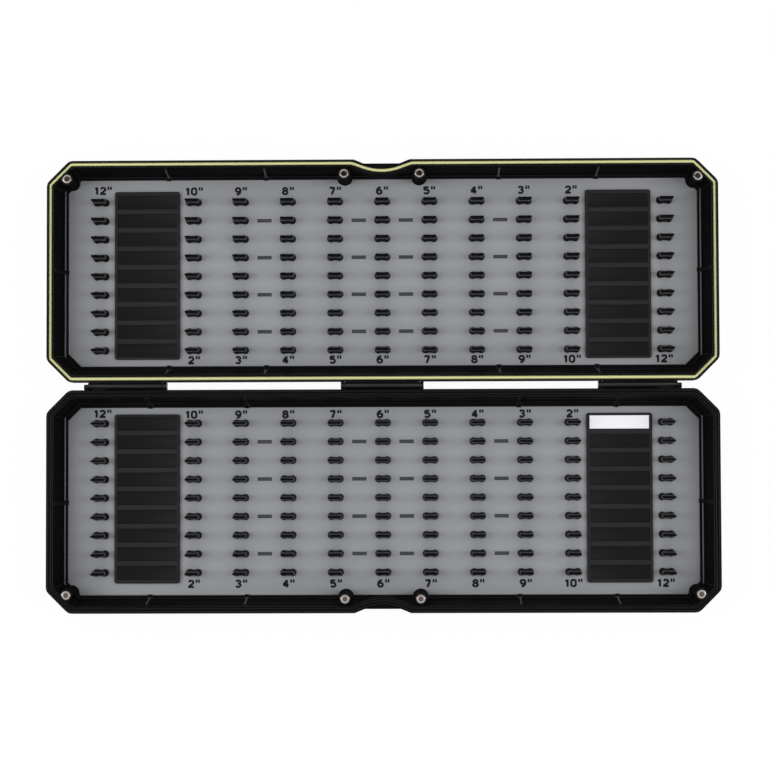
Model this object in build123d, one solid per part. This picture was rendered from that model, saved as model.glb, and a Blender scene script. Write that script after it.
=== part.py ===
from build123d import *
import os
from math import atan, cos, degrees, pi, radians, sin, sqrt, tan

# Hooklength box: a slim rigid case for made-up fishing hooklengths, lying fully open.
# Millimetres. X runs along the case, +Y points from the hinge to the lid, +Z is up.
# The origin is on the ground under the hinge axis, half way along the case.

# Case outline and heights
case_length = 356.0
half_depth = 118.0
hinge_height = 21.0
hinge_gap = 4.0
rim_setback = 0.15
corner_chamfer = 12.0

# Shell walls
rim_width = 3.8
rim_band = 5.0
rim_chamfer = 0.5
skirt_step = 1.3
foot_inset = 3.6
foot_round = 3.0
foot_steps = 3
floor_thickness = 2.0
wall_foot = 6.6

# Finger notch in the front rims, and the dip of the seal behind it
notch_width = 30.0
notch_bottom = 19.0
notch_depth = 2.3
dip_width = 31.8
dip_angle = 20.0
dip_round = 28.0
dip_shoulder = 5.0

# Seal in the lid rim, and the tongue on the base rim that presses into it
seal_line = 1.95
seal_width = 1.8
seal_height = 1.6
seal_recess = 1.0
seal_chamfer = 0.5
tongue_width = 1.5
tongue_height = 1.0

# Sides that stand for the circle of a small round part that repeats
round_sides = 16

# Hinges: a long lid knuckle between two base ears, on a steel pin
hinge_end_inset = 20.35
hinge_length = 43.7
knuckle_radius = 1.85
ear_length = 1.9
knuckle_end_gap = 0.3
pin_radius = 0.9
pin_running_gap = 0.05
pin_seat_gap = 0.02
leaf_root = 1.0
rail_drop = 0.3
rail_thickness = 1.4
rail_gap = 0.2

# Peg board, set a little towards the front
board_thickness = 2.0
board_margin = 8.6
board_gap = 0.15
board_shift = 0.4
ledge_rise = 0.3
boss_gap = 0.3

# Peg grid: nine columns one inch apart, and one more near each end of the case
column_pitch = 25.4
end_column_inset = 26.4
row_count = 9
row_pitch = 10.0
grid_shift = 1.4

# Peg: two posts joined by a thinner web, drawn in to a long narrow top
peg_length = 8.1
peg_top_length = 7.3
peg_width = 3.8
peg_waist = 3.0
peg_end_flat = 2.7
peg_shoulder = 1.2
peg_height = 14.0
peg_draw_in = 1.2

# Slots in the board, between the columns of pegs
slot_length = 7.7
slot_width = 1.9
slot_depth = 1.3

# Label panels between the last two columns at each end, and the one label card
panel_side_gap = 3.4
panel_row_margin = 5.3
panel_thickness = 1.5
panel_corner = 0.9
panel_border = 1.5
recess_depth = 7.4
recess_sink = 0.8
card_gap = 0.15
card_thickness = 0.3

# Magnet bosses in the front wall and corners
boss_foot_radius = 3.8
boss_top_radius = 3.1
boss_recess = 0.2
boss_corner_side = 10.7
boss_corner_front = 9.7
boss_front = 7.5
boss_spacing = 40.0
magnet_radius = 2.5
magnet_height = 2.0
magnet_gap = 0.05

# Clips of the walls that hold the board down, each at the foot of a thin rib
rib_thickness = 1.0
rib_rise = 0.8
rib_top_gap = 1.5
rib_root = 0.6
clip_width = 2.4
clip_height = 1.1
clip_overhang = 0.6
clip_gap = 0.1
lid_clip_places = (62.5, 115.0)
base_clip_places = (73.0, 125.0)
side_clip_place = 60.0

# Heights and places that follow from the sizes above
rim_z = hinge_height - rim_setback
board_top = floor_thickness + board_thickness
ledge_z = board_top + ledge_rise
back_y = hinge_gap / 2
front_y = back_y + half_depth
middle_y = back_y + half_depth / 2
grid_y = middle_y - grid_shift
boss_top = rim_z - boss_recess

# Columns of the grid from left to right, named by the length marked above them
inner_columns = [f"{10 - index:02d}in" for index in range(9)]
column_x = {name: (index - 4) * column_pitch for index, name in enumerate(inner_columns)}
column_x["12in"] = end_column_inset - case_length / 2
column_x["00in"] = case_length / 2 - end_column_inset
row_y = [grid_y + (row - (row_count - 1) / 2) * row_pitch for row in range(row_count)]

# Slots lie half way between these pairs of columns, in every second row
slot_pairs = (("09in", "08in"), ("07in", "06in"), ("06in", "05in"), ("04in", "03in"))
slot_places = [
    ((column_x[left] + column_x[right]) / 2, y)
    for left, right in slot_pairs
    for y in row_y[1::2]
]

panel_x = (column_x["02in"] + column_x["00in"]) / 2
panel_y = grid_y + board_shift
panel_width = column_x["00in"] - column_x["02in"] - peg_length - 2 * panel_side_gap
panel_depth = (row_count - 1) * row_pitch + 2 * panel_row_margin
recess_width = panel_width - 2 * panel_border
outer_hinge_x = case_length / 2 - hinge_end_inset - hinge_length / 2
hinge_places = (-outer_hinge_x, 0.0, outer_hinge_x)
boss_places = [
    (-case_length / 2 + boss_corner_side, front_y - boss_corner_front),
    (-boss_spacing / 2, front_y - boss_front),
    (boss_spacing / 2, front_y - boss_front),
    (case_length / 2 - boss_corner_side, front_y - boss_corner_front),
]


def at_height(z, shape):
    """Lift a flat shape to height z."""
    return Pos(0, 0, z) * shape


def drafted(face, height, draw_in):
    """Extrude a face by height, up or down, while its sides draw in by the given amount."""
    return extrude(face, height, taper=degrees(atan(draw_in / abs(height))))


def corner_points(inset):
    """Corners of one half's chamfered plan, drawn in by inset."""
    x = case_length / 2 - inset
    back = back_y + inset
    front = front_y - inset
    leg = corner_chamfer - inset * (2 - sqrt(2))
    return [
        (-x, front - leg),
        (-x, back + leg),
        (-x + leg, back),
        (x - leg, back),
        (x, back + leg),
        (x, front - leg),
        (x - leg, front),
        (-x + leg, front),
    ]


def rounded(face, points, radius):
    """Round the corners of a face that lie at the given points."""
    corners = [face.vertices().sort_by_distance((x, y, 0))[0] for x, y in points]
    return fillet(corners, radius)


def plan(inset):
    """Plan of one half drawn in by inset."""
    return make_face(Polyline(*corner_points(inset), close=True))


def board_plan(inset):
    """Plan of the board and its pocket, drawn in by inset and set towards the front."""
    return Pos(0, board_shift) * plan(inset)


def small_round(radius):
    """Face of a small round part that repeats, inside a circle of this radius."""
    return RegularPolygon(radius, round_sides)


def small_hole(radius):
    """Face of a small round hole that repeats, outside a circle of this radius."""
    return RegularPolygon(radius, round_sides, major_radius=False)


def rim_loop(inset):
    """Plan of one half drawn in by inset, with the seal's dip behind the finger notch."""
    shift = inset - seal_line
    shoulder_x = dip_width / 2 + shift * tan(radians(dip_angle / 2))
    front = front_y - inset
    tip = (0, front - shoulder_x * tan(radians(dip_angle)))
    shoulders = [(-shoulder_x, front), (shoulder_x, front)]
    corners = corner_points(inset)
    points = corners[:7] + [shoulders[1], tip, shoulders[0]] + corners[7:]
    face = rounded(make_face(Polyline(*points, close=True)), shoulders, dip_shoulder - shift)
    return rounded(face, [tip], dip_round + shift)


def rim_ring(middle, width, low, high):
    """Ring that follows the rim, centred on inset middle, between two heights."""
    face = rim_loop(middle - width / 2) - rim_loop(middle + width / 2)
    return extrude(at_height(low, face), high - low)


def round_foot():
    """Round bottom edge: drafted steps along a quarter circle, from the skirt to the ground."""
    angles = [pi / 2 * step / foot_steps for step in range(foot_steps + 1)]
    insets = [foot_inset + foot_round * (1 - cos(angle)) for angle in angles]
    heights = [foot_round * (1 - sin(angle)) for angle in angles]
    steps = []
    for inset, next_inset, height, next_height in zip(insets, insets[1:], heights, heights[1:]):
        top = at_height(height, plan(inset))
        steps.append(drafted(top, next_height - height, next_inset - inset))
    return steps


def outer_block():
    """Solid outside of one half: upright rim band over a drafted skirt with a round foot."""
    band = extrude(at_height(rim_z - rim_band, plan(0)), rim_band)
    band = chamfer(band.edges().group_by(Axis.Z)[-1], rim_chamfer)
    skirt_top = rim_z - rim_band
    height = foot_round - skirt_top
    skirt = drafted(at_height(skirt_top, plan(skirt_step)), height, foot_inset - skirt_step)
    return band + skirt + round_foot()


def cavity():
    """Drafted space inside the walls, with the pocket that takes the board."""
    opening = drafted(at_height(rim_z, plan(rim_width)), ledge_z - rim_z, wall_foot - rim_width)
    pocket = extrude(at_height(floor_thickness, board_plan(board_margin)), ledge_z - floor_thickness)
    return opening + pocket


def notch_cut():
    """Trapezoid prism that takes the finger notch out of the rim and upper wall."""
    points = [
        (-notch_width / 2, front_y),
        (-notch_bottom / 2, front_y - notch_depth),
        (notch_bottom / 2, front_y - notch_depth),
        (notch_width / 2, front_y),
    ]
    return extrude(make_face(Polyline(*points, close=True)), hinge_height)


def notch_backing():
    """Part of the cavity that stays solid behind the notch, to carry the dip of the seal."""
    face = plan(rim_width) - rim_loop(rim_width)
    return extrude(at_height(ledge_z, face), hinge_height - ledge_z)


def bosses():
    """Tapered round posts that carry the magnets."""
    foot = at_height(floor_thickness, small_round(boss_foot_radius))
    post = drafted(foot, boss_top - floor_thickness, boss_foot_radius - boss_top_radius)
    return [Pos(x, y) * post for x, y in boss_places]


def magnet_pockets():
    """Round pockets for the magnets in the tops of the bosses."""
    pocket = extrude(small_hole(magnet_radius + magnet_gap), -magnet_height)
    return [Pos(x, y, boss_top) * pocket for x, y in boss_places]


def wall_at(z):
    """Inset of the inner wall face at height z."""
    share = (z - ledge_z) / (rim_z - ledge_z)
    return wall_foot + (rim_width - wall_foot) * share


def board_clip(margin):
    """Thin wall rib with the clip at its foot, for a wall whose outer face is at y = 0."""
    top = rim_z - rib_top_gap
    profile = [
        (-wall_at(ledge_z) + rib_root, ledge_z),
        (-wall_at(ledge_z) - rib_rise, ledge_z),
        (-wall_at(top) - rib_rise, top),
        (-wall_at(top) + rib_root, top),
    ]
    rib = extrude(Plane.YZ * make_face(Polyline(*profile, close=True)), rib_thickness / 2, both=True)
    reach = margin + clip_overhang
    low = board_top + clip_gap
    nose = [
        (-wall_foot + rib_root, low),
        (-reach, low),
        (-reach, low + clip_height / 2),
        (-wall_foot - rib_rise, low + clip_height),
        (-wall_foot + rib_root, low + clip_height),
    ]
    clip = extrude(Plane.YZ * make_face(Polyline(*nose, close=True)), clip_width / 2, both=True)
    return rib + clip


def board_clips(places):
    """Clips on the front and back walls at the given places, and one on each end wall."""
    side_clip = board_clip(board_margin)
    front_clip = board_clip(board_margin - board_shift)
    back_clip = board_clip(board_margin + board_shift)
    side_y = back_y + side_clip_place
    clips = [Pos(-case_length / 2, side_y) * Rot(Z=90) * side_clip]
    clips.append(Pos(case_length / 2, side_y) * Rot(Z=-90) * side_clip)
    for x in [sign * place for place in places for sign in (-1, 1)]:
        clips.append(Pos(x, front_y) * front_clip)
        clips.append(Pos(x, back_y) * Rot(Z=180) * back_clip)
    return clips


def hinge_part(length, centres, hole):
    """Barrels on the hinge axis with the leaves that join them to the back rim."""
    reach = back_y + leaf_root
    leaf_height = rim_z - hinge_height + knuckle_radius
    leaf = Pos(0, reach / 2, rim_z - leaf_height / 2) * Box(length, reach, leaf_height)
    barrel = extrude(Plane.YZ * small_round(knuckle_radius), length / 2, both=True)
    bore = extrude(Plane.YZ * hole, length / 2, both=True)
    piece = leaf + at_height(hinge_height, barrel) - at_height(hinge_height, bore)
    return [Pos(x) * piece for x in centres]


def lid_knuckles():
    """One long knuckle for each hinge, free to turn on its pin."""
    length = hinge_length - 2 * (ear_length + knuckle_end_gap)
    return hinge_part(length, hinge_places, Circle(pin_radius + pin_running_gap))


def base_ears():
    """Two short ears for each hinge, which hold the ends of its pin."""
    offset = (hinge_length - ear_length) / 2
    centres = [x + sign * offset for x in hinge_places for sign in (-1, 1)]
    return hinge_part(ear_length, centres, small_hole(pin_radius + pin_seat_gap)) + hinge_rails()


def hinge_rails():
    """Rail under each knuckle that ties the base's two ears together and closes the gap."""
    reach = back_y + leaf_root
    top = hinge_height - knuckle_radius - rail_drop
    width = reach + back_y - rail_gap
    rail = Box(hinge_length, width, rail_thickness)
    y = reach - width / 2
    return [Pos(x, y, top - rail_thickness / 2) * rail for x in hinge_places]


def half_shell(clip_places, hinge_barrels):
    """One moulded half of the case, in the lid's place."""
    shell = outer_block() - (cavity() - notch_backing() - bosses()) - notch_cut()
    shell = shell + board_clips(clip_places) + hinge_barrels
    return shell - magnet_pockets()


def lid_shell():
    """Upper half of the case, with the groove for the seal."""
    groove_floor = rim_z - seal_recess - seal_height
    groove = rim_ring(seal_line, seal_width, groove_floor, rim_z)
    return half_shell(lid_clip_places, lid_knuckles()) - groove


def base_shell():
    """Lower half of the case, with the sealing tongue. It is made in the lid's place."""
    tongue = rim_ring(seal_line, tongue_width, rim_z, rim_z + tongue_height)
    return half_shell(base_clip_places, base_ears()) + tongue


def lid_seal():
    """Rubber seal that fills the lid's groove, with bevelled upper edges."""
    top = rim_z - seal_recess
    ring = rim_ring(seal_line, seal_width, top - seal_height, top)
    return chamfer(ring.edges().group_by(Axis.Z)[-1], seal_chamfer)


def peg_board():
    """Board with its shallow slots, and round bites for the bosses."""
    outline = board_plan(board_margin + board_gap)
    board = extrude(at_height(floor_thickness, outline), board_thickness)
    slot = extrude(Rectangle(slot_length, slot_width), -slot_depth)
    bite = extrude(small_hole(boss_foot_radius + boss_gap), board_thickness)
    board -= [Pos(x, y, board_top) * slot for x, y in slot_places]
    return board - [Pos(x, y, floor_thickness) * bite for x, y in boss_places]


def peg():
    """One peg: two drafted posts whose tails cross in the thinner web, trimmed to length."""
    end = peg_length / 2
    shoulder = end - peg_shoulder
    slope = (peg_width - peg_end_flat) / 2 / peg_shoulder
    nose = (end + peg_draw_in, peg_end_flat / 2 - slope * peg_draw_in)
    tail_width = 2 * peg_waist - peg_width
    upper = [nose, (shoulder, peg_width / 2), (-shoulder, tail_width / 2)]
    lower = [(x, -y) for x, y in reversed(upper)]
    post = drafted(make_face(Polyline(*upper, *lower, close=True)), peg_height, peg_draw_in)
    side = [(-end, 0), (end, 0), (peg_top_length / 2, peg_height), (-peg_top_length / 2, peg_height)]
    trim = extrude(Plane.XZ * make_face(Polyline(*side, close=True)), peg_width, both=True)
    return (post + mirror(post, about=Plane.YZ)) & trim


def peg_column(x):
    """The nine pegs of one column."""
    one = peg()
    return Compound([Pos(x, y, board_top) * one for y in row_y])


def label_panel(x):
    """Panel on the board with one shallow recess for each row of pegs."""
    outline = Rectangle(panel_width, panel_depth)
    panel = extrude(chamfer(outline.vertices(), panel_corner), panel_thickness)
    recess = extrude(Rectangle(recess_width, recess_depth), recess_sink)
    sink_z = panel_thickness - recess_sink
    panel -= [Pos(0, y - panel_y, sink_z) * recess for y in row_y]
    return Pos(x, panel_y, board_top) * panel


def label_card():
    """Writing card in the recess nearest the hinge, made in the lid's place."""
    card = extrude(Rectangle(recess_width - 2 * card_gap, recess_depth - 2 * card_gap), card_thickness)
    return Pos(panel_x, row_y[0], board_top + panel_thickness - recess_sink) * card


def magnets():
    """Disc magnets, flush with the tops of the bosses."""
    disc = extrude(small_round(magnet_radius), -magnet_height)
    return Compound([Pos(x, y, boss_top) * disc for x, y in boss_places])


def hinge_pin(x):
    """Steel pin through one hinge."""
    return Pos(x, 0, hinge_height) * Rot(Y=90) * Cylinder(pin_radius, hinge_length)


def in_base(shape):
    """Mirror a piece from the lid's place across the hinge to the base."""
    return mirror(shape, about=Plane.XZ)


def all_nodes():
    """Every piece by its node name."""
    nodes = {
        "base_shell": in_base(base_shell()),
        "lid_shell": lid_shell(),
        "lid_seal": lid_seal(),
        "base_peg_board": in_base(peg_board()),
        "lid_peg_board": peg_board(),
        "base_label_card": in_base(label_card()),
        "base_magnets": in_base(magnets()),
        "lid_magnets": magnets(),
    }
    for side, x in (("left", -panel_x), ("right", panel_x)):
        nodes[f"base_label_panel_{side}"] = in_base(label_panel(x))
        nodes[f"lid_label_panel_{side}"] = label_panel(x)
    for name, x in column_x.items():
        column = peg_column(x)
        nodes[f"base_pegs_{name}"] = in_base(column)
        nodes[f"lid_pegs_{name}"] = column
    for side, x in zip(("left", "centre", "right"), hinge_places):
        nodes[f"hinge_pin_{side}"] = hinge_pin(x)
    return nodes


os.makedirs("parts", exist_ok=True)
for node, shape in all_nodes().items():
    export_step(shape, f"parts/{node}.step")
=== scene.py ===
import bpy
import bmesh
from math import cos, radians, sin
from mathutils import Matrix, Vector


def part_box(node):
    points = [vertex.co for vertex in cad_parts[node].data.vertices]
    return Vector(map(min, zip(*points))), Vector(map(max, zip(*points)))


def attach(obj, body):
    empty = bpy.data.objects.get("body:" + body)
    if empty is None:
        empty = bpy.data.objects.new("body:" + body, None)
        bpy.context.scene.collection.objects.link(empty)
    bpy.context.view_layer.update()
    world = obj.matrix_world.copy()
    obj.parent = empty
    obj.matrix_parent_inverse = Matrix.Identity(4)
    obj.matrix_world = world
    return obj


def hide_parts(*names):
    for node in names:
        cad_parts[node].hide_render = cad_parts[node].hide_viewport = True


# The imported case, lying open: X along the hinge, +Y towards the lid, +Z up, in metres.
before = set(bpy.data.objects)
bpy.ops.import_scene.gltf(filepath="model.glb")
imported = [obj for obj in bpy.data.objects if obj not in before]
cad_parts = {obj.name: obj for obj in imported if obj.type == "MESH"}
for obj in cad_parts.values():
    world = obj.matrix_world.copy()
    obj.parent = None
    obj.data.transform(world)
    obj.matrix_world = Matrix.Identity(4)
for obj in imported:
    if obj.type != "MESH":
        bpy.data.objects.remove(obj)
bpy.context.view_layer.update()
mm = 0.001


# Case halves: satin black ABS, each moulded in one piece with its rim, ribs, clips, magnet posts
# and hinge barrels. The tool leaves the upright corners round, every edge slightly eased and a
# fine grain on the skin. The eased edges and the upward faces of the barrels are coloured a
# lighter, glossier black as a painted highlight, and the narrow fronts of the ribs a still lighter
# painted highlight.
rim_back = 2.0 * mm
corner_leg = 12.0 * mm
corner_round = 6.0 * mm
corner_half_turn = radians(22.5)
corner_cuts = (radians(-11.25), 0.0, radians(11.25))
shell_ease = 0.14 * mm
shortest_eased = 0.3 * mm
seam_angle = radians(25)
square_on = 0.9
barrel_reach = 1.5 * mm
rib_places = {"base": (73.0 * mm, 125.0 * mm), "lid": (62.5 * mm, 115.0 * mm)}
rib_walls = {"base": (-120.0 * mm, -60.0 * mm), "lid": (0.0, 120.0 * mm)}
rib_heights = (4.2 * mm, 19.0 * mm)
rib_reach = 0.3 * mm
grain_scale = 2600.0
drift_scale = 14.0
speck_scale = 420.0
skin_depth = 0.05 * mm
rub_gloss = 0.12
dust_cover = 0.12
weld_reach = 0.001 * mm
flat_angle = radians(1)
cut_reach = 0.0001 * mm


def new_material(name, slot):
    """Material for a slot, with its node tree and its Principled shader."""
    material = bpy.data.materials.new(name)
    material.use_nodes = True
    material["slot"] = slot
    return material, material.node_tree, material.node_tree.nodes["Principled BSDF"]


def add_node(tree, kind, values=(), **settings):
    """Node of one kind, with its settings and the values of its sockets."""
    node = tree.nodes.new(kind)
    for name, value in settings.items():
        setattr(node, name, value)
    for name, value in dict(values).items():
        node.inputs[name].default_value = value
    return node


def new_group(name, inputs, outputs):
    """Shader node group with named float inputs and outputs."""
    group = bpy.data.node_groups.new(name, "ShaderNodeTree")
    for label, value in inputs.items():
        socket = group.interface.new_socket(label, in_out="INPUT", socket_type="NodeSocketFloat")
        socket.default_value = value
    for label in outputs:
        group.interface.new_socket(label, in_out="OUTPUT", socket_type="NodeSocketFloat")
    return group, group.nodes.new("NodeGroupInput"), group.nodes.new("NodeGroupOutput")


def place_group(tree, group, values):
    """One use of a node group, with its own values."""
    node = tree.nodes.new("ShaderNodeGroup")
    node.node_tree = group
    for name, value in values.items():
        node.inputs[name].default_value = value
    return node


def mix_colour(tree, mask, low, high):
    """Colour that goes from low to high with a mask."""
    mix = tree.nodes.new("ShaderNodeMix")
    mix.data_type = "RGBA"
    tree.links.new(mask, mix.inputs["Factor"])
    for socket, value in ((mix.inputs["A"], low), (mix.inputs["B"], high)):
        if isinstance(value, tuple):
            socket.default_value = (*value, 1.0)
        else:
            tree.links.new(value, socket)
    return mix.outputs["Result"]


def spread(tree, value, low, high, start=0.0, end=1.0):
    """Value from start..end spread over low..high."""
    ranges = {"From Min": start, "From Max": end, "To Min": low, "To Max": high}
    ranged = add_node(tree, "ShaderNodeMapRange", ranges)
    tree.links.new(value, ranged.inputs["Value"])
    return ranged.outputs["Result"]


def bump(tree, shader, height, strength, distance):
    """Bump that feeds a shader's normal."""
    node = add_node(tree, "ShaderNodeBump", {"Strength": strength, "Distance": distance})
    tree.links.new(height, node.inputs["Height"])
    tree.links.new(node.outputs["Normal"], shader.inputs["Normal"])


def moulded_grain():
    """Fine skin of a moulding: a height, and a slow drift of its tone."""
    scales = {"Grain": grain_scale, "Drift": drift_scale}
    group, given, made = new_group("moulded grain", scales, ("Height", "Tone"))
    place = group.nodes.new("ShaderNodeTexCoord")
    fine = add_node(group, "ShaderNodeTexNoise", {"Detail": 3.0, "Roughness": 0.55})
    slow = add_node(group, "ShaderNodeTexNoise", {"Detail": 4.0, "Roughness": 0.6})
    for noise, label in ((fine, "Grain"), (slow, "Drift")):
        group.links.new(place.outputs["Object"], noise.inputs["Vector"])
        group.links.new(given.outputs[label], noise.inputs["Scale"])
    group.links.new(fine.outputs["Fac"], made.inputs["Height"])
    group.links.new(slow.outputs["Fac"], made.inputs["Tone"])
    return group


def dust_and_rubs():
    """Scattered dust specks, and long thin rubs from handling."""
    values = {"Specks": speck_scale, "Cover": dust_cover}
    group, given, made = new_group("dust and rubs", values, ("Dust", "Rubs"))
    place = group.nodes.new("ShaderNodeTexCoord")
    specks = add_node(group, "ShaderNodeTexVoronoi", {"Randomness": 1.0})
    group.links.new(place.outputs["Object"], specks.inputs["Vector"])
    group.links.new(given.outputs["Specks"], specks.inputs["Scale"])
    patches = add_node(group, "ShaderNodeTexNoise", {"Scale": 60.0, "Detail": 2.0})
    group.links.new(place.outputs["Object"], patches.inputs["Vector"])
    cover = add_node(group, "ShaderNodeMath", operation="MULTIPLY")
    group.links.new(patches.outputs["Fac"], cover.inputs[0])
    group.links.new(given.outputs["Cover"], cover.inputs[1])
    near = add_node(group, "ShaderNodeMath", operation="LESS_THAN")
    group.links.new(specks.outputs["Distance"], near.inputs[0])
    group.links.new(cover.outputs[0], near.inputs[1])
    group.links.new(near.outputs[0], made.inputs["Dust"])
    along = {"Rotation": (0.3, 0.2, 0.5), "Scale": (40.0, 900.0, 900.0)}
    turned = add_node(group, "ShaderNodeMapping", along)
    group.links.new(place.outputs["Object"], turned.inputs["Vector"])
    lines = add_node(group, "ShaderNodeTexNoise", {"Scale": 1.0, "Detail": 2.0, "Roughness": 0.5})
    group.links.new(turned.outputs["Vector"], lines.inputs["Vector"])
    group.links.new(spread(group, lines.outputs["Fac"], 0.0, 1.0, 0.66, 0.74), made.inputs["Rubs"])
    return group


grain_group = moulded_grain()
wear_group = dust_and_rubs()


def moulded_plastic(name, slot, dark, light, rough, gloss, grain_height, dust, dust_tone):
    """Moulded plastic: two close tones, a grain, roughness that drifts, dust and rubs."""
    material, tree, shader = new_material(name, slot)
    shader.inputs["Specular IOR Level"].default_value = gloss
    grain = place_group(tree, grain_group, {"Grain": grain_scale, "Drift": drift_scale})
    wear = place_group(tree, wear_group, {"Specks": speck_scale, "Cover": dust})
    tone = mix_colour(tree, grain.outputs["Tone"], dark, light)
    dusted = mix_colour(tree, wear.outputs["Dust"], tone, (dust_tone, dust_tone, dust_tone))
    tree.links.new(dusted, shader.inputs["Base Color"])
    rubbed = add_node(tree, "ShaderNodeMath", {1: rub_gloss}, operation="MULTIPLY_ADD")
    tree.links.new(wear.outputs["Rubs"], rubbed.inputs[0])
    tree.links.new(spread(tree, grain.outputs["Tone"], *rough), rubbed.inputs[2])
    tree.links.new(rubbed.outputs[0], shader.inputs["Roughness"])
    bump(tree, shader, grain.outputs["Height"], grain_height, skin_depth)
    return material


shell_black = moulded_plastic(
    "shell black", "black_moulding", (0.0008, 0.0008, 0.001), (0.0022, 0.0022, 0.0026),
    rough=(0.52, 0.66), gloss=0.05, grain_height=0.25, dust=0.07, dust_tone=0.05,
)
# Lighter black for the eased edges and the barrel tops: a painted highlight; its higher gloss is
# real.
shell_painted_highlight = moulded_plastic(
    "shell black painted highlight", "black_moulding", (0.0055, 0.0052, 0.006), (0.011, 0.0104, 0.0118),
    rough=(0.35, 0.5), gloss=0.3, grain_height=0.25, dust=0.1, dust_tone=0.08,
)
# Much lighter black for the narrow fronts of the ribs: a painted highlight.
rib_painted_highlight = moulded_plastic(
    "rib painted highlight", "black_moulding", (0.04, 0.039, 0.043), (0.08, 0.078, 0.085),
    rough=(0.3, 0.4), gloss=0.5, grain_height=0.2, dust=0.1, dust_tone=0.2,
)


def merged_copy(node):
    """Copy of a CAD solid with its triangles welded and its flat faces made whole."""
    shape = bmesh.new()
    shape.from_mesh(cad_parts[node].data)
    bmesh.ops.remove_doubles(shape, verts=shape.verts, dist=weld_reach)
    bmesh.ops.dissolve_limit(shape, angle_limit=flat_angle, verts=shape.verts, edges=shape.edges)
    return shape


def ease(shape, edges, width, segments, clamp=True, slot=-1):
    """Round a set of edges, whose new faces can take a material slot of their own."""
    bmesh.ops.bevel(
        shape, geom=edges, offset=width, offset_type="OFFSET", affect="EDGES",
        segments=segments, profile=0.5, clamp_overlap=clamp, material=slot,
    )


def sharp_edges(shape, shortest=0.0):
    """Edges where two faces meet at more than the seam angle."""
    edges = [edge for edge in shape.edges if edge.is_manifold and edge.calc_length() > shortest]
    return [edge for edge in edges if edge.calc_face_angle() > seam_angle]


def round_corners(shape, node, back=rim_back, leg=corner_leg, radius=corner_round):
    """Trim the eight upright corners of a ring's plan to a round, one flat cut after another."""
    low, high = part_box(node)
    front = max(high.y, -low.y)
    side = 1 if high.y > -low.y else -1
    end = high.x
    corners = []
    for edge_y, inward in ((front, -1), (back, 1)):
        corners.append((end, edge_y + inward * leg, -inward * corner_half_turn))
        corners.append((end - leg, edge_y, -inward * 3 * corner_half_turn))
    for x, y, way in corners:
        for cut in corner_cuts:
            out = Vector((cos(way), sin(way), 0)) * radius / cos(corner_half_turn)
            turn = way + cut
            normal = Vector((cos(turn), sin(turn), 0))
            point = Vector((x, y, 0)) - out + normal * radius
            for mirror_x in (1, -1):
                flip = Matrix.Diagonal((mirror_x, side, 1))
                geometry = shape.verts[:] + shape.edges[:] + shape.faces[:]
                made = bmesh.ops.bisect_plane(
                    shape, geom=geometry, dist=cut_reach, plane_co=flip @ point,
                    plane_no=flip @ normal, clear_outer=True,
                )["geom_cut"]
                loop = [item for item in made if isinstance(item, bmesh.types.BMEdge)]
                bmesh.ops.contextual_create(shape, geom=loop)


def finished(shape, name, body, material, nodes=(), smooth_angle=35, others=()):
    """Object made of a bmesh: smooth, with its materials, riding on its body, for its CAD nodes."""
    mesh = bpy.data.meshes.new(name)
    shape.to_mesh(mesh)
    shape.free()
    mesh.shade_smooth()
    mesh.set_sharp_from_angle(angle=radians(smooth_angle))
    for finish in (material, *others):
        mesh.materials.append(finish)
    piece = bpy.data.objects.new(name, mesh)
    bpy.context.scene.collection.objects.link(piece)
    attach(piece, body)
    if nodes:
        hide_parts(*nodes)
    return piece


def on_rib(face, half):
    """Whether a face is the narrow front of one of a half's ribs."""
    middle = face.calc_center_median()
    return (
        abs(face.normal.y) > square_on
        and rib_walls[half][0] < middle.y < rib_walls[half][1]
        and rib_heights[0] < middle.z < rib_heights[1]
        and any(abs(abs(middle.x) - place) < rib_reach for place in rib_places[half])
    )


for half in ("base", "lid"):
    shape = merged_copy(f"{half}_shell")
    round_corners(shape, f"{half}_shell")
    # Painted highlight: the faces made by easing the edges take slot 1, a lighter black than the
    # skin.
    ease(shape, sharp_edges(shape, shortest_eased), shell_ease, 2, clamp=False, slot=1)
    # Painted highlight: the upward faces of the hinge barrels take the same lighter black.
    for face in shape.faces:
        if face.normal.z > square_on and abs(face.calc_center_median().y) < barrel_reach:
            face.material_index = 1
        # Painted highlight: the narrow fronts of the ribs take a much lighter grey black.
        elif on_rib(face, half):
            face.material_index = 2
    finished(shape, f"{half}_case_half", half, shell_black, [f"{half}_shell"],
             others=(shell_painted_highlight, rib_painted_highlight))


# Ledges at the foot of the end walls: narrow rounded steps beside the board, moulded with the
# halves in the same black ABS; they are coloured a much lighter grey as a painted highlight along
# their whole length.
ledge_width = 0.7 * mm
ledge_rise = 0.5 * mm
ledge_round = 0.2 * mm
ledge_inset = 6.7 * mm
ledge_ends = (13.0 * mm, 106.5 * mm)
# Painted highlight: the ledges are coloured a much lighter grey than the black ABS they are moulded
# in.
ledge_painted_highlight = moulded_plastic(
    "ledge painted highlight", "black_moulding", (0.09, 0.09, 0.098), (0.16, 0.16, 0.17),
    rough=(0.3, 0.4), gloss=0.5, grain_height=0.2, dust=0.1, dust_tone=0.2,
)
for half, side in (("base", -1), ("lid", 1)):
    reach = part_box(f"{half}_shell")[1].x - ledge_inset - ledge_width / 2
    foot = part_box(f"{half}_peg_board")[1].z
    shape = bmesh.new()
    for end in (-1, 1):
        size = (ledge_width, ledge_ends[1] - ledge_ends[0], 2 * ledge_rise)
        middle = (end * reach, side * sum(ledge_ends) / 2, foot)
        cube = Matrix.Translation(middle) @ Matrix.Diagonal((*size, 1.0))
        bmesh.ops.create_cube(shape, size=1.0, matrix=cube)
    ease(shape, sharp_edges(shape), ledge_round, 2)
    finished(shape, f"{half}_wall_ledges", half, ledge_painted_highlight)


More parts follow.
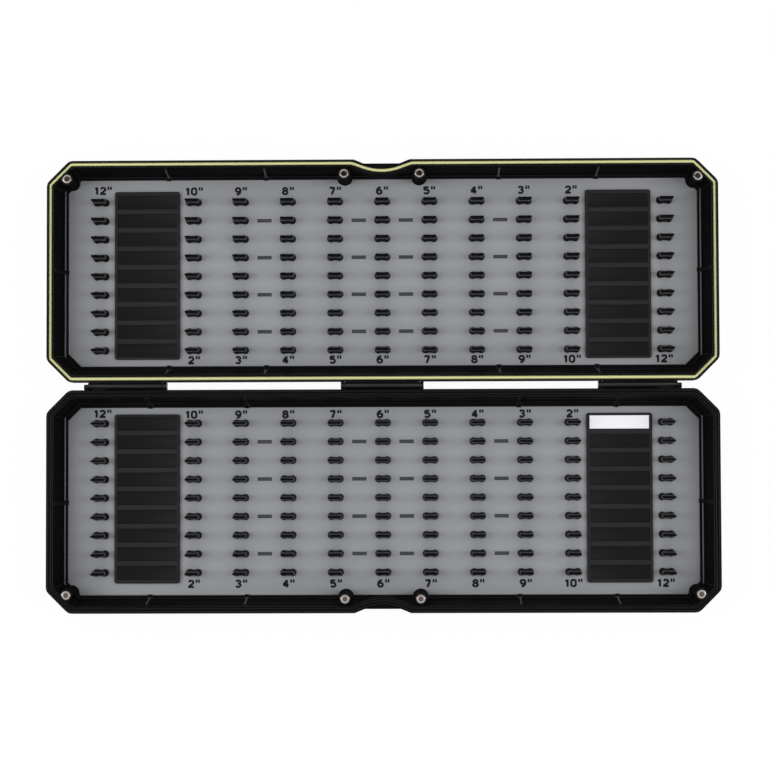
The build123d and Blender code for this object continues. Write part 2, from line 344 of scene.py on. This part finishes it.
# Seal: one endless ring of lime-yellow rubber, moulded with a round crown. It is pressed into the
# groove of the lid's rim, follows the dip behind the finger notch, and meets the base's tongue.
seal_crown = 0.4 * mm
leg_per_inset = 2 - 2 ** 0.5
seal_lime = moulded_plastic(
    "seal lime", "seal_rubber", (0.66, 0.67, 0.30), (0.76, 0.76, 0.37),
    rough=(0.5, 0.62), gloss=0.4, grain_height=0.15, dust=0.05, dust_tone=0.4,
)
shape = merged_copy("lid_seal")
low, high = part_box("lid_seal")
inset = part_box("lid_shell")[1].x - high.x
round_corners(shape, "lid_seal", low.y, corner_leg - leg_per_inset * inset, corner_round - inset)
ease(shape, sharp_edges(shape), seal_crown, 3)
finished(shape, "lid_seal_ring", "lid", seal_lime, ["lid_seal"])


# Peg boards: grey plastic plates with a matte skin, moulded apart from the halves and held down
# by the clips of the walls. The floors of the short slots between the columns, and everything else
# more than half a millimetre under the top face, are coloured dark grey as a painted shade.
board_ease = 0.15 * mm
slot_shade_depth = 0.5 * mm


def tint_by_height(material, low, high, colour):
    """Give the part of a material between two heights another colour."""
    tree = material.node_tree
    shader = tree.nodes["Principled BSDF"]
    place = tree.nodes.new("ShaderNodeTexCoord")
    axes = tree.nodes.new("ShaderNodeSeparateXYZ")
    tree.links.new(place.outputs["Object"], axes.inputs[0])
    band = {1: (low + high) / 2, 2: (high - low) / 2}
    near = add_node(tree, "ShaderNodeMath", band, operation="COMPARE")
    tree.links.new(axes.outputs["Z"], near.inputs[0])
    plain = shader.inputs["Base Color"].links[0].from_socket
    tree.links.new(mix_colour(tree, near.outputs[0], plain, colour), shader.inputs["Base Color"])


board_grey = moulded_plastic(
    "board grey", "grey_moulding", (0.250, 0.258, 0.272), (0.298, 0.308, 0.324),
    rough=(0.46, 0.56), gloss=0.4, grain_height=0.3, dust=0.05, dust_tone=0.5,
)
board_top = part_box("lid_peg_board")[1].z
# Painted shade: slot floors and everything else well below the top face take a dark grey.
tint_by_height(board_grey, 0.0, board_top - slot_shade_depth, (0.05, 0.052, 0.056))
for half in ("base", "lid"):
    shape = merged_copy(f"{half}_peg_board")
    ease(shape, sharp_edges(shape), board_ease, 2)
    finished(shape, f"{half}_board", half, board_grey, [f"{half}_peg_board"])


# Pegs: moulded black plastic, each of two tapered posts joined by a web, with a shoulder half way
# up and a thin crown. A band round the shoulders is coloured pale grey as a painted highlight. Nine
# stand in every column.
peg_rings = (
    # height, half length, radius of the posts
    (0.0 * mm, 4.4 * mm, 2.1 * mm),
    (6.9 * mm, 3.9 * mm, 1.45 * mm),
    (7.3 * mm, 3.7 * mm, 1.2 * mm),
    (7.5 * mm, 3.3 * mm, 0.75 * mm),
    (13.2 * mm, 3.5 * mm, 0.62 * mm),
    (13.75 * mm, 3.4 * mm, 0.45 * mm),
    (14.0 * mm, 3.15 * mm, 0.2 * mm),
)
shoulder_highlight_band = (7.1 * mm, 7.6 * mm)
post_turn = radians(128)
post_points = 8
row_pitch = 10.0 * mm
row_count = 9
peg_black = moulded_plastic(
    "peg black", "peg_black", (0.001, 0.001, 0.0012), (0.0025, 0.0025, 0.0028),
    rough=(0.5, 0.6), gloss=0.06, grain_height=0.2, dust=0.05, dust_tone=0.03,
)
# Painted highlight: a pale grey band round the shoulders.
tint_by_height(
    peg_black, board_top + shoulder_highlight_band[0], board_top + shoulder_highlight_band[1], (0.07, 0.071, 0.075)
)


def post_outline(ring, half_length, radius):
    """Move a ring of vertices to two round post ends joined by a thinner web."""
    for index, vertex in enumerate(ring):
        end, step = divmod(index, post_points)
        turn = post_turn * (2 * step / (post_points - 1) - 1)
        side = 1 - 2 * end
        vertex.co.x = side * (half_length - radius + radius * cos(turn))
        vertex.co.y = side * radius * sin(turn)


def one_peg():
    """A peg at the origin, standing on z = 0."""
    shape = bmesh.new()
    ring = bmesh.ops.create_circle(shape, segments=2 * post_points, radius=1.0)["verts"]
    edges = shape.edges[:]
    for height, half_length, radius in peg_rings:
        if height:
            grown = bmesh.ops.extrude_edge_only(shape, edges=edges)["geom"]
            edges = [item for item in grown if isinstance(item, bmesh.types.BMEdge)]
            ring = [item for item in grown if isinstance(item, bmesh.types.BMVert)]
        post_outline(ring, half_length, radius)
        for vertex in ring:
            vertex.co.z = height
    bmesh.ops.contextual_create(shape, geom=edges)
    bmesh.ops.recalc_face_normals(shape, faces=shape.faces)
    return shape


lengths = ("12", "10", "09", "08", "07", "06", "05", "04", "03", "02")
for half in ("base", "lid"):
    for length in (*lengths, "00"):
        low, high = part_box(f"{half}_pegs_{length}in")
        shape = one_peg()
        first_peg = shape.verts[:] + shape.edges[:] + shape.faces[:]
        first_row = (low.y + high.y - (row_count - 1) * row_pitch) / 2
        bmesh.ops.translate(shape, verts=shape.verts, vec=((low.x + high.x) / 2, first_row, low.z))
        for row in range(1, row_count):
            copy = bmesh.ops.duplicate(shape, geom=first_peg)["geom"]
            moved = [item for item in copy if isinstance(item, bmesh.types.BMVert)]
            bmesh.ops.translate(shape, verts=moved, vec=(0, row * row_pitch, 0))
        finished(shape, f"{half}_peg_column_{length}", half, peg_black,
                 [f"{half}_pegs_{length}in"], smooth_angle=50)


# Printed scale: black numbers with an inch mark, pad-printed on the boards beside the outer rows.
# They count up to the left above the pegs and to the right below them, in broad flat strokes.
numeral_wide = 2.4 * mm
numeral_high = 3.3 * mm
numeral_stroke = 1.25 * mm
numeral_gap = 1.75 * mm
inch_mark_thin = 0.8
print_flat = 0.04
print_inward = 0.7 * mm
print_lift = 0.6 * mm
print_rows = {"lid": (105.6 * mm, 14.4 * mm), "base": (-14.9 * mm, -105.6 * mm)}
numerals = {
    # letter: its width, and the strokes it is drawn with
    "0": (1.0, [(0.25, 0), (0.75, 0), (1, 0.2), (1, 0.8), (0.75, 1), (0.25, 1), (0, 0.8), (0, 0.2),
                (0.25, 0)]),
    "1": (0.6, [(0.1, 0.72), (0.45, 1)], [(0.5, 1.1), (0.5, -0.1)]),
    "2": (1.0, [(0, 0.78), (0.25, 1), (0.75, 1), (1, 0.8), (1, 0.62), (0.05, 0.05)],
          [(-0.15, 0), (1.15, 0)]),
    "3": (1.0, [(0, 0.85), (0.25, 1), (0.75, 1), (1, 0.8), (0.75, 0.54), (0.4, 0.52)],
          [(0.75, 0.54), (1, 0.27), (0.75, 0), (0.25, 0), (0, 0.15)]),
    "4": (1.0, [(0.75, -0.1), (0.75, 1.1)], [(0.7, 1), (0, 0.32)], [(-0.1, 0.27), (1.15, 0.27)]),
    "5": (1.0, [(1.0, 1), (0.05, 1)], [(0.08, 1.1), (0.08, 0.5)],
          [(0.1, 0.6), (0.75, 0.6), (1, 0.42), (1, 0.2), (0.75, 0), (0.25, 0), (0, 0.14)]),
    "6": (1.0, [(0.85, 0.98), (0.5, 1), (0.12, 0.78), (0, 0.5), (0, 0.2), (0.25, 0), (0.75, 0),
                (1, 0.18), (1, 0.4), (0.75, 0.58), (0.25, 0.58), (0, 0.42)]),
    "7": (1.0, [(-0.1, 1), (1.1, 1)], [(0.98, 0.98), (0.4, -0.1)]),
    "8": (1.0, [(0.3, 0.54), (0.7, 0.54), (0.95, 0.72), (0.95, 0.84), (0.7, 1), (0.3, 1),
                (0.05, 0.84), (0.05, 0.72), (0.3, 0.54), (0, 0.34), (0, 0.18), (0.25, 0), (0.75, 0),
                (1, 0.18), (1, 0.34), (0.7, 0.54)]),
    "9": (1.0, [(0.15, 0.02), (0.5, 0), (0.88, 0.22), (1, 0.5), (1, 0.8), (0.75, 1), (0.25, 1),
                (0, 0.82), (0, 0.6), (0.25, 0.42), (0.75, 0.42), (1, 0.58)]),
    '"': (0.55, [(0.0, 1.19), (0.0, 0.66)], [(0.55, 1.19), (0.55, 0.66)]),
}
ink_black = moulded_plastic(
    "ink black", "panel_black", (0.003, 0.003, 0.0035), (0.007, 0.007, 0.0075),
    rough=(0.5, 0.6), gloss=0.15, grain_height=0.1, dust=0.03, dust_tone=0.1,
)


def printed(words, x, y):
    """Mesh of one printed number, centred on a place of the board."""
    pen = bpy.data.curves.new("print", "CURVE")
    pen.dimensions = "3D"
    pen.twist_mode = "Z_UP"
    pen.bevel_depth = numeral_stroke / 2
    pen.bevel_resolution = 1
    pen.use_fill_caps = True
    start = 0.0
    for letter in words:
        wide, *strokes = numerals[letter]
        for stroke in strokes:
            line = pen.splines.new("POLY")
            line.points.add(len(stroke) - 1)
            for point, (across, up) in zip(line.points, stroke):
                point.co = (start + across * numeral_wide, (up - 0.5) * numeral_high, 0, 1)
                point.radius = inch_mark_thin if letter == '"' else 1.0
        start += wide * numeral_wide + numeral_gap
    holder = bpy.data.objects.new("print", pen)
    bpy.context.scene.collection.objects.link(holder)
    bpy.context.view_layer.update()
    drawn = holder.evaluated_get(bpy.context.evaluated_depsgraph_get())
    mesh = bpy.data.meshes.new_from_object(drawn)
    bpy.data.objects.remove(holder)
    middle = (start - numeral_gap) / 2
    flat = Matrix.Diagonal((1, 1, print_flat, 1))
    mesh.transform(Matrix.Translation((x - middle, y, board_top)) @ flat)
    return mesh


for half, rows in print_rows.items():
    shape = bmesh.new()
    for side, y in zip((1, -1), rows):
        for length in lengths:
            low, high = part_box(f"{half}_pegs_{length}in")
            shift, lift = (print_inward, print_lift) if length == "12" else (0.0, 0.0)
            x = side * ((low.x + high.x) / 2 + shift)
            shape.from_mesh(printed(f'{int(length)}"', x, y + lift * max(side, 0)))
    finished(shape, f"{half}_printed_scale", half, ink_black)


# Label panels: satin black moulded plates, fixed on the board between the last two columns at
# each end. Each has nine shallow recesses for writing cards; their floors carry a painted shade.
panel_ease = 0.15 * mm
recess_shade_depth = 0.3 * mm
panel_black = moulded_plastic(
    "panel black", "panel_black", (0.012, 0.012, 0.0125), (0.018, 0.018, 0.0185),
    rough=(0.42, 0.52), gloss=0.13, grain_height=0.3, dust=0.08, dust_tone=0.07,
)
panel_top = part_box("lid_label_panel_left")[1].z
# Painted shade: the recess floors, and everything more than 0.3 mm below the top face, take a
# darker black.
tint_by_height(panel_black, 0.0, panel_top - recess_shade_depth, (0.003, 0.003, 0.0032))
for half in ("base", "lid"):
    for side in ("left", "right"):
        shape = merged_copy(f"{half}_label_panel_{side}")
        ease(shape, sharp_edges(shape), panel_ease, 2)
        finished(shape, f"{half}_label_plate_{side}", half, panel_black,
                 [f"{half}_label_panel_{side}"])


# Writing card: one slip of white plastic sheet, cut square and pressed into the recess nearest
# the hinge in the base's right panel.
card_ease = 0.05 * mm
card_white = moulded_plastic(
    "card white", "label_card", (0.83, 0.83, 0.87), (0.89, 0.89, 0.92),
    rough=(0.45, 0.55), gloss=0.4, grain_height=0.1, dust=0.02, dust_tone=0.6,
)
shape = merged_copy("base_label_card")
ease(shape, sharp_edges(shape), card_ease, 1)
finished(shape, "base_writing_card", "base", card_white, ["base_label_card"])


# Magnets: nickel-plated discs with a rolled rim and a shallow round recess, pressed into the
# posts so that they meet the other half's when the case is shut. The recess floors and the sides
# below the rim are coloured a dark brownish grey, a painted shade.
magnet_sides = 40
magnet_radius = 2.35 * mm
magnet_high = 2.0 * mm
magnet_roll = 0.3 * mm
magnet_rim = 0.75 * mm
magnet_recess = 0.25 * mm
nickel, tree, shader = new_material("magnet nickel", "magnet_nickel")
grain = place_group(tree, grain_group, {"Grain": 1800.0, "Drift": 300.0})
plating = mix_colour(tree, grain.outputs["Tone"], (0.42, 0.375, 0.35), (0.54, 0.49, 0.46))
tree.links.new(plating, shader.inputs["Base Color"])
tree.links.new(spread(tree, grain.outputs["Tone"], 0.08, 0.18), shader.inputs["Roughness"])
shader.inputs["Metallic"].default_value = 1.0
bump(tree, shader, grain.outputs["Height"], 0.1, 0.02 * mm)
magnet_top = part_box("lid_magnets")[1].z
# Painted shade: the recess floors and the sides below the rim take a dark brownish grey.
tint_by_height(nickel, 0.0, magnet_top - magnet_recess / 2, (0.13, 0.11, 0.105))
for half in ("base", "lid"):
    source = merged_copy(f"{half}_magnets")
    places = [face.calc_center_median() for face in source.faces if face.normal.z > square_on]
    source.free()
    shape = bmesh.new()
    for place in places:
        disc = bmesh.ops.create_cone(
            shape, cap_ends=True, segments=magnet_sides, radius1=magnet_radius,
            radius2=magnet_radius, depth=magnet_high,
            matrix=Matrix.Translation(place - Vector((0, 0, magnet_high / 2))),
        )["verts"]
        faces = {face for vertex in disc for face in vertex.link_faces}
        top = max(faces, key=lambda face: face.calc_center_median().z)
        ease(shape, top.edges[:], magnet_roll, 4)
    caps = [face for face in shape.faces if len(face.verts) == magnet_sides]
    tops = [face for face in caps if face.normal.z > square_on]
    bmesh.ops.inset_individual(shape, faces=tops, thickness=magnet_rim, depth=0.0)
    bmesh.ops.inset_individual(shape, faces=tops, thickness=magnet_recess / 2, depth=-magnet_recess)
    finished(shape, f"{half}_magnet_discs", half, nickel, [f"{half}_magnets"], smooth_angle=60)


# Hinge pins: lengths of blackened steel wire, pushed through the lid's barrels and held tight by
# the ears of the base. Only their ends show.
steel, tree, shader = new_material("pin steel", "pin_steel")
grain = place_group(tree, grain_group, {"Grain": 900.0, "Drift": 200.0})
blacking = mix_colour(tree, grain.outputs["Tone"], (0.02, 0.02, 0.022), (0.035, 0.035, 0.038))
tree.links.new(blacking, shader.inputs["Base Color"])
tree.links.new(spread(tree, grain.outputs["Tone"], 0.25, 0.4), shader.inputs["Roughness"])
shader.inputs["Metallic"].default_value = 1.0
for side in ("left", "centre", "right"):
    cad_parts[f"hinge_pin_{side}"].material_slots[0].material = steel


# Studio: a white table under a soft white dome, with a dark patch of ceiling over the lid and a
# soft box at each end of the case.
table_half = 3.0
table_drop = 0.05 * mm
table_glow = 0.96
dome_light = 0.85
patch_light = 0.02
patch_edge = (0.75, 1.1)
patch_centre = 0.148
patch_width = 0.24
patch_depth = 0.075
box_size = (0.5, 0.9)
box_power = 5.0
box_reach = 0.95
box_height = 0.9
box_aim = Vector((0, 0, 0.02))
shape = bmesh.new()
bmesh.ops.create_grid(shape, x_segments=1, y_segments=1, size=table_half)
bmesh.ops.translate(shape, verts=shape.verts, vec=(0, 0, -table_drop))
mesh = bpy.data.meshes.new("table")
shape.to_mesh(mesh)
shape.free()
table = bpy.data.objects.new("table", mesh)
bpy.context.scene.collection.objects.link(table)
material = bpy.data.materials.new("white table")
material.use_nodes = True
tree = material.node_tree
shader = tree.nodes["Principled BSDF"]
shader.inputs["Base Color"].default_value = (0.9, 0.9, 0.9, 1)
shader.inputs["Roughness"].default_value = 0.8
glow = add_node(tree, "ShaderNodeEmission", {"Strength": 1.0})
rays = tree.nodes.new("ShaderNodeLightPath")
seen = add_node(tree, "ShaderNodeMath", operation="MAXIMUM")
seen_too = add_node(tree, "ShaderNodeMath", operation="MAXIMUM")
share = add_node(tree, "ShaderNodeMath", {1: table_glow}, operation="MULTIPLY")
mix = tree.nodes.new("ShaderNodeMixShader")
tree.links.new(rays.outputs["Is Camera Ray"], seen.inputs[0])
tree.links.new(rays.outputs["Is Glossy Ray"], seen.inputs[1])
tree.links.new(seen.outputs[0], seen_too.inputs[0])
tree.links.new(rays.outputs["Is Transmission Ray"], seen_too.inputs[1])
tree.links.new(seen_too.outputs[0], share.inputs[0])
tree.links.new(share.outputs[0], mix.inputs["Fac"])
tree.links.new(shader.outputs[0], mix.inputs[1])
tree.links.new(glow.outputs[0], mix.inputs[2])
tree.links.new(mix.outputs[0], tree.nodes["Material Output"].inputs["Surface"])
mesh.materials.append(material)

world = bpy.data.worlds.new("studio")
world.use_nodes = True
bpy.context.scene.world = world
tree = world.node_tree
sky = tree.nodes["Background"]
sky.inputs["Color"].default_value = (1, 1, 1, 1)
place = tree.nodes.new("ShaderNodeTexCoord")
patch = add_node(tree, "ShaderNodeMapping", {
    "Location": (0.0, -patch_centre / patch_depth, 0.0),
    "Scale": (1 / patch_width, 1 / patch_depth, 0.0),
})
away = add_node(tree, "ShaderNodeVectorMath", operation="LENGTH")
tree.links.new(place.outputs["Generated"], patch.inputs["Vector"])
tree.links.new(patch.outputs["Vector"], away.inputs[0])
rays = tree.nodes.new("ShaderNodeLightPath")
seen = add_node(tree, "ShaderNodeMath", operation="MAXIMUM")
dimmed = spread(tree, away.outputs["Value"], patch_light, dome_light, *patch_edge)
tree.links.new(dimmed, seen.inputs[0])
tree.links.new(rays.outputs["Is Camera Ray"], seen.inputs[1])
tree.links.new(seen.outputs[0], sky.inputs["Strength"])

for side in (-1, 1):
    light = bpy.data.lights.new("soft box", "AREA")
    light.shape = "RECTANGLE"
    light.size, light.size_y = box_size
    light.energy = box_power
    lamp = bpy.data.objects.new("soft box", light)
    lamp.location = (side * box_reach, 0.0, box_height)
    lamp.rotation_euler = (box_aim - lamp.location).to_track_quat("-Z", "Y").to_euler()
    bpy.context.scene.collection.objects.link(lamp)


# Camera: almost straight above the case with a small tilt, as the photograph's. Its place, turn
# and lens were fitted to the boards, rims, magnets and hinges.
lens = bpy.data.cameras.new("camera")
lens.sensor_width = 36.0
lens.lens = 83.7
lens.clip_end = 20.0
camera = bpy.data.objects.new("camera", lens)
camera.location = (14.86 * mm, -30.9 * mm, 965.3 * mm)
camera.rotation_euler = (0.0328, 0.0143, -0.0033)
bpy.context.scene.collection.objects.link(camera)
bpy.context.scene.camera = camera
bpy.context.scene.view_settings.view_transform = "Standard"
